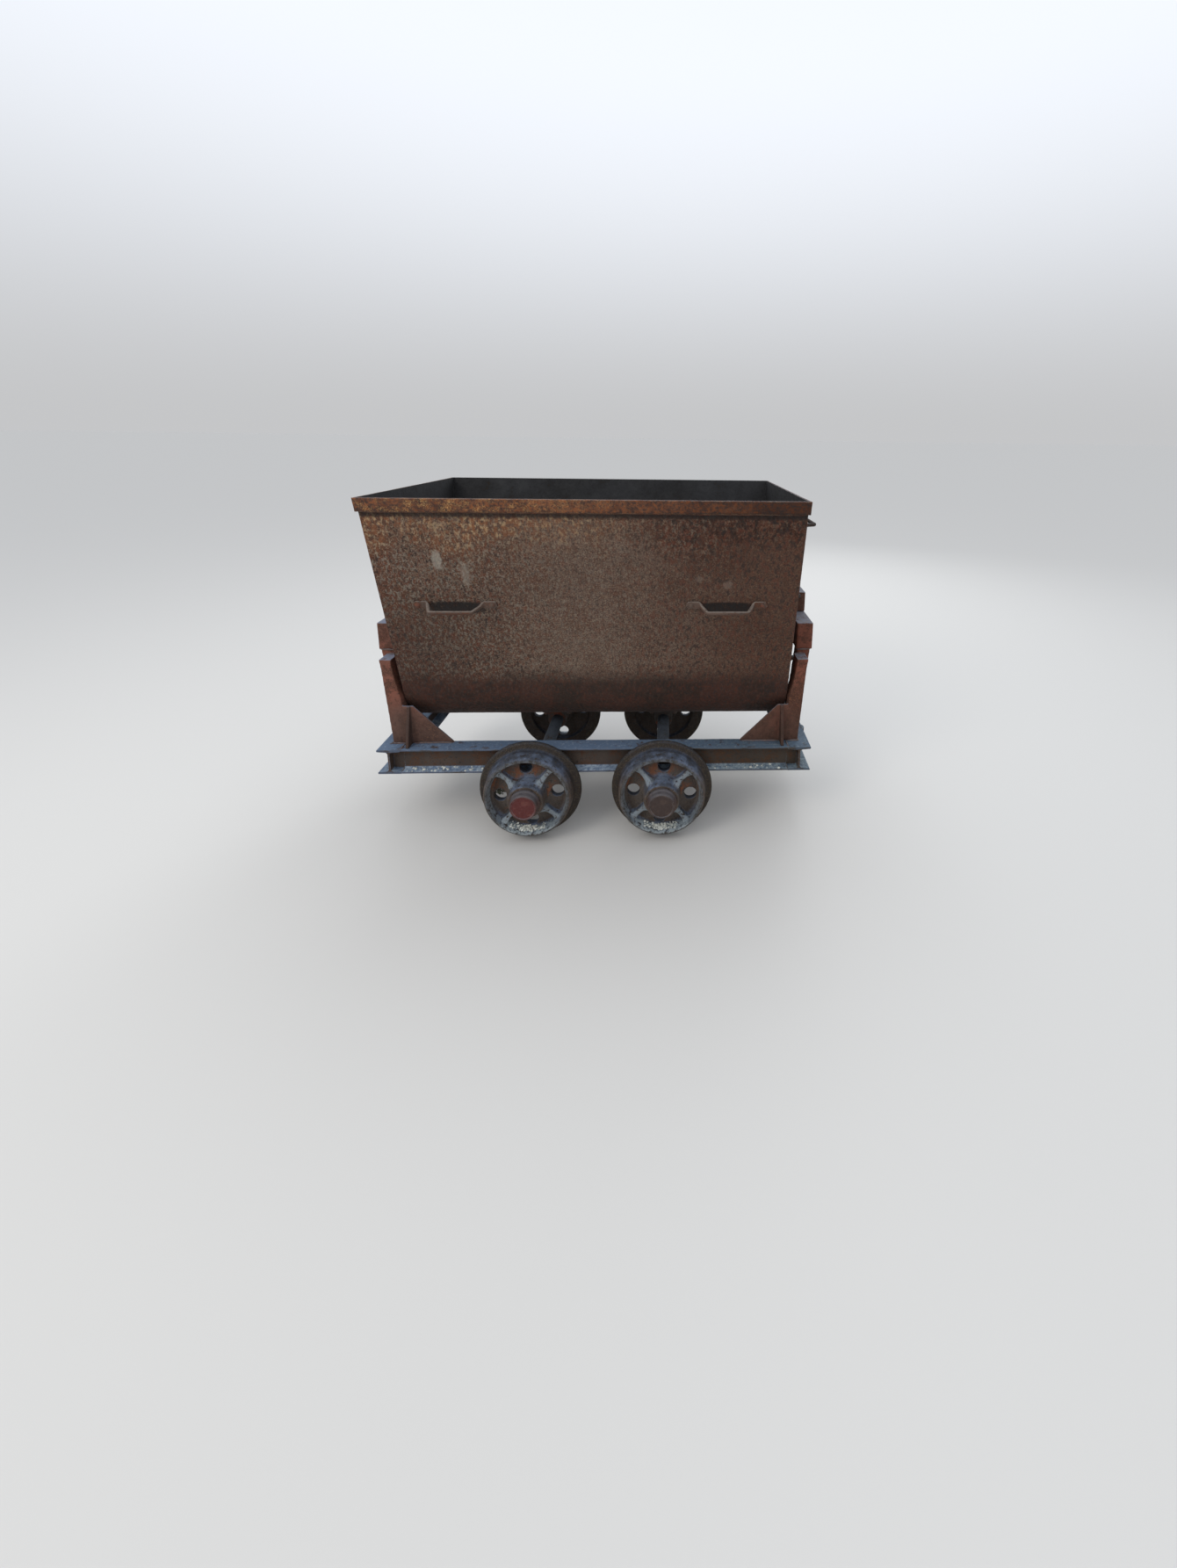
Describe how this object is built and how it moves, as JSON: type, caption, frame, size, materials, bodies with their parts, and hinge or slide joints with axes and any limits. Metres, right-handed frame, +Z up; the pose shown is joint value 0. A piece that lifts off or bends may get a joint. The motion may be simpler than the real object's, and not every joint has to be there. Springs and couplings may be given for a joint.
{
  "type": "mine cart",
  "caption": "Side-tipping mine cart: a rusted steel tub with a rounded bottom and rim band, hinged along one side on end stands over a beam frame with flanged rail wheels.",
  "frame": {"origin": "on the ground under the middle of the cart, at the lowest point of the wheel flanges", "axes": "+X along the track, +Y to the side the tub tips towards, +Z up"},
  "size_m": [1.564, 0.7926, 1.182],
  "materials": {
    "frame_steel": "blue-grey mill scale with brown rust on the webs",
    "oxide_steel": "weathered red oxide paint over rust",
    "cast_wheel_iron": "rough casting, orange rust in the hollows",
    "axle_steel": "worn turned steel",
    "bush_bronze": "greasy bronze",
    "red_cap": "faded red paint",
    "rusty_cap": "brown rust",
    "tub_sheet": "grey-brown speckled rust",
    "bottom_rust": "dark red-brown rust",
    "rim_rust": "orange-brown rust",
    "handle_steel": "hand-worn rusty bar",
    "fastener_steel": "rusty bolts"
  },
  "bodies": {
    "frame": {"beam_near": "frame_steel", "beam_far": "frame_steel", "end_beam_left": "frame_steel", "end_beam_right": "frame_steel", "coupling_eye_left": "frame_steel", "coupling_eye_right": "frame_steel", "stand_post_near_left": "oxide_steel", "stand_post_far_left": "oxide_steel", "stand_post_near_right": "oxide_steel", "stand_post_far_right": "oxide_steel", "stand_rail_left": "oxide_steel", "stand_rail_right": "oxide_steel", "knee_near_left": "oxide_steel", "knee_far_left": "oxide_steel", "knee_near_right": "oxide_steel", "knee_far_right": "oxide_steel", "post_stop": "oxide_steel", "hinge_lugs_left": "oxide_steel", "hinge_lugs_right": "oxide_steel", "hinge_pin_left": "fastener_steel", "hinge_pin_right": "fastener_steel", "hinge_cotters": "fastener_steel", "axle_box_near_left": "cast_wheel_iron", "axle_box_far_left": "cast_wheel_iron", "axle_box_near_right": "cast_wheel_iron", "axle_box_far_right": "cast_wheel_iron", "axle_box_bolts": "fastener_steel", "axle_left": "axle_steel", "axle_right": "axle_steel", "axle_collars": "axle_steel", "axle_washers": "fastener_steel", "axle_nuts": "fastener_steel"},
    "tub": {"side_sheet_near": "tub_sheet", "side_sheet_far": "tub_sheet", "bottom_sheet": "bottom_rust", "end_plate_left": "tub_sheet", "end_plate_right": "tub_sheet", "rim_band_near": "rim_rust", "rim_band_far": "rim_rust", "rim_band_left": "rim_rust", "rim_band_right": "rim_rust", "hinge_arm_left": "oxide_steel", "hinge_arm_right": "oxide_steel", "arm_bolts": "fastener_steel", "handle_left": "handle_steel", "handle_right": "handle_steel", "push_bar": "handle_steel", "handle_rivets": "fastener_steel"},
    "wheel_near_left": {"wheel_near_left": "cast_wheel_iron", "bush_near_left": "bush_bronze", "hub_cap_near_left": "red_cap"},
    "wheel_far_left": {"wheel_far_left": "cast_wheel_iron", "bush_far_left": "bush_bronze", "hub_cap_far_left": "rusty_cap"},
    "wheel_near_right": {"wheel_near_right": "cast_wheel_iron", "bush_near_right": "bush_bronze", "hub_cap_near_right": "rusty_cap"},
    "wheel_far_right": {"wheel_far_right": "cast_wheel_iron", "bush_far_right": "bush_bronze", "hub_cap_far_right": "red_cap"}
  },
  "joints": [
    {"name": "tub_tip", "type": "hinge", "parent": "frame", "child": "tub", "pos_m": [0, 0.155, 0.759], "axis": [-1, 0, 0], "range_deg": [0, 110]},
    {"name": "wheel_spin_near_left", "type": "hinge", "parent": "frame", "child": "wheel_near_left", "pos_m": [-0.225, -0.317, 0.174], "axis": [0, 1, 0], "continuous": true},
    {"name": "wheel_spin_far_left", "type": "hinge", "parent": "frame", "child": "wheel_far_left", "pos_m": [-0.225, 0.317, 0.174], "axis": [0, 1, 0], "continuous": true},
    {"name": "wheel_spin_near_right", "type": "hinge", "parent": "frame", "child": "wheel_near_right", "pos_m": [0.225, -0.317, 0.174], "axis": [0, 1, 0], "continuous": true},
    {"name": "wheel_spin_far_right", "type": "hinge", "parent": "frame", "child": "wheel_far_right", "pos_m": [0.225, 0.317, 0.174], "axis": [0, 1, 0], "continuous": true}
  ]
}
